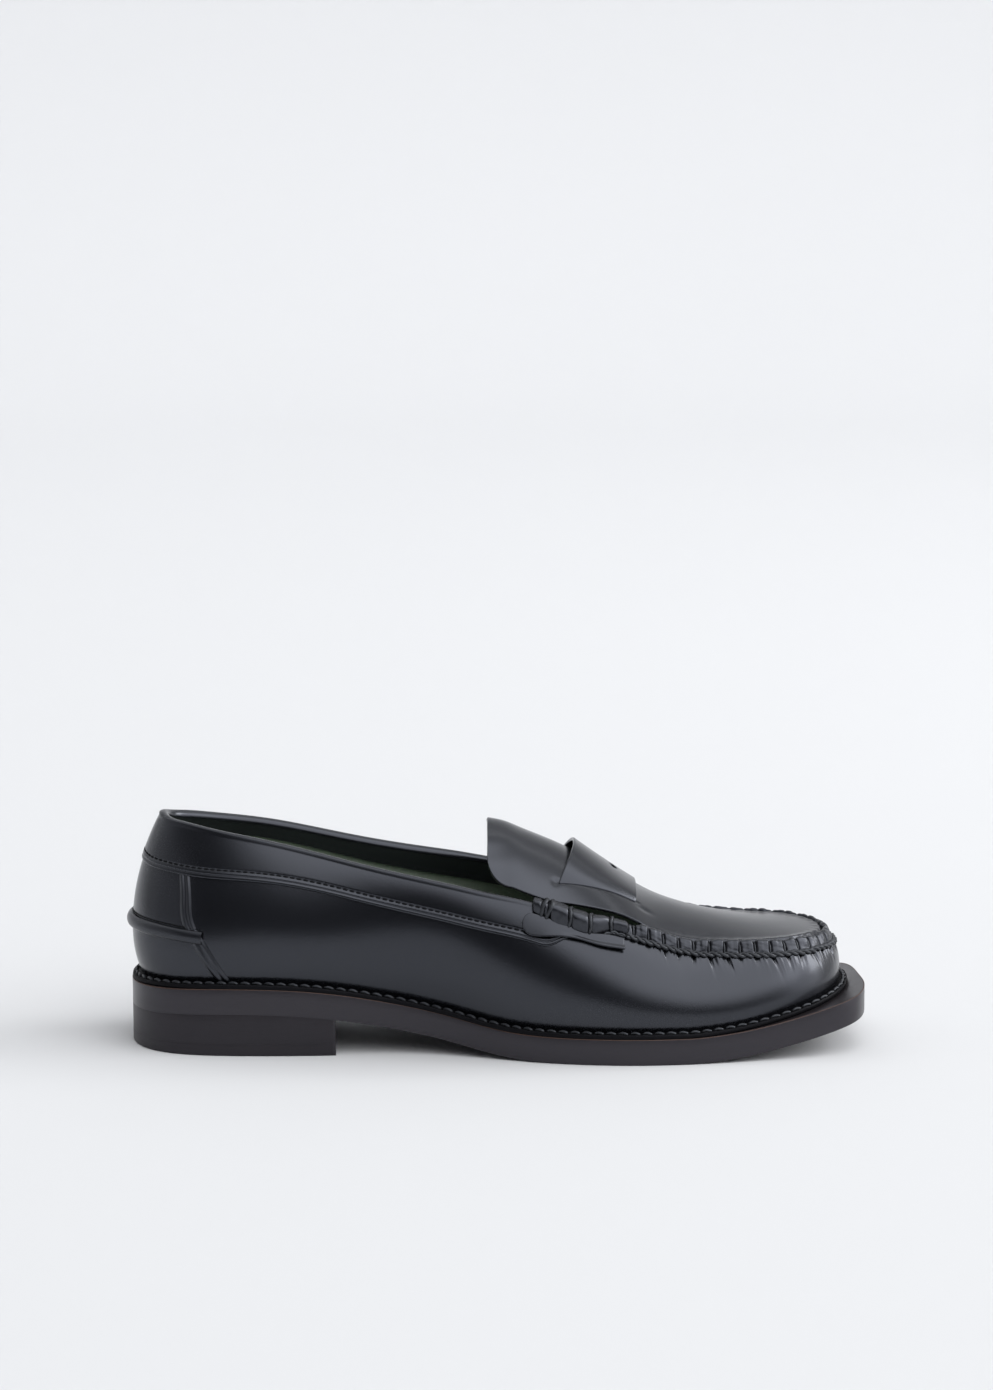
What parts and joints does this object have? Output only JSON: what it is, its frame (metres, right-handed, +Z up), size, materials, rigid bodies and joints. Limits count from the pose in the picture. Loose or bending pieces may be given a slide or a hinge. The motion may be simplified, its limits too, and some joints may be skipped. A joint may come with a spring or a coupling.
{
  "type": "penny loafer",
  "caption": "Penny loafer with a gathered moccasin apron, rolled side bindings, a slotted strap over the tongue, a welted sole and a stacked heel.",
  "frame": {"origin": "centre of the bounding box's floor, where the heel and the ball of the sole rest", "axes": "+X from the heel to the toe, -Y to the shoe's outer side, +Z up"},
  "size_m": [0.2757, 0.0976, 0.0868],
  "materials": {
    "upper_leather": "polished",
    "sole_edge": "satin",
    "heel_stack": "satin",
    "welt_leather": "satin",
    "heel_rubber": "matte",
    "nail_steel": "satin",
    "shank_steel": "satin",
    "cork": "matte",
    "insole_leather": "matte",
    "sock_leather": "satin",
    "lining_leather": "satin",
    "vamp_lining_fabric": "matte",
    "stiffener_board": "matte",
    "waxed_thread": "waxed",
    "fine_thread": "waxed"
  },
  "bodies": {
    "shoe": {"outsole": "sole_edge", "midsole": "sole_edge", "welt": "welt_leather", "heel_nails": "nail_steel", "heel_top_piece": "heel_rubber", "heel_lift_1": "heel_stack", "heel_lift_2": "heel_stack", "heel_lift_3": "heel_stack", "cork_filler": "cork", "shank": "shank_steel", "insole": "insole_leather", "sock_liner": "sock_leather", "vamp": "upper_leather", "heel_counter_cover": "upper_leather", "back_panel": "upper_leather", "quarter_lining": "lining_leather", "vamp_lining": "vamp_lining_fabric", "heel_stiffener": "stiffener_board", "toe_puff": "stiffener_board", "collar_strip": "upper_leather", "back_bead": "upper_leather", "side_seam_strip_outer": "upper_leather", "side_seam_strip_inner": "upper_leather", "apron": "upper_leather", "penny_strap": "upper_leather", "apron_thread": "waxed_thread", "welt_thread": "waxed_thread", "collar_thread": "fine_thread", "roll_tab_outer": "upper_leather", "beef_roll_outer": "upper_leather", "roll_binding_outer": "waxed_thread", "roll_tab_inner": "upper_leather", "beef_roll_inner": "upper_leather", "roll_binding_inner": "waxed_thread"},
    "tongue": {"tongue": "upper_leather"}
  },
  "joints": [
    {"name": "tongue_flex", "type": "hinge", "parent": "shoe", "child": "tongue", "pos_m": [0.0213, 0, 0.07391], "axis": [0, 1, 0], "range_deg": [0, 20], "stiffness_Nm_per_rad": 0.05}
  ]
}
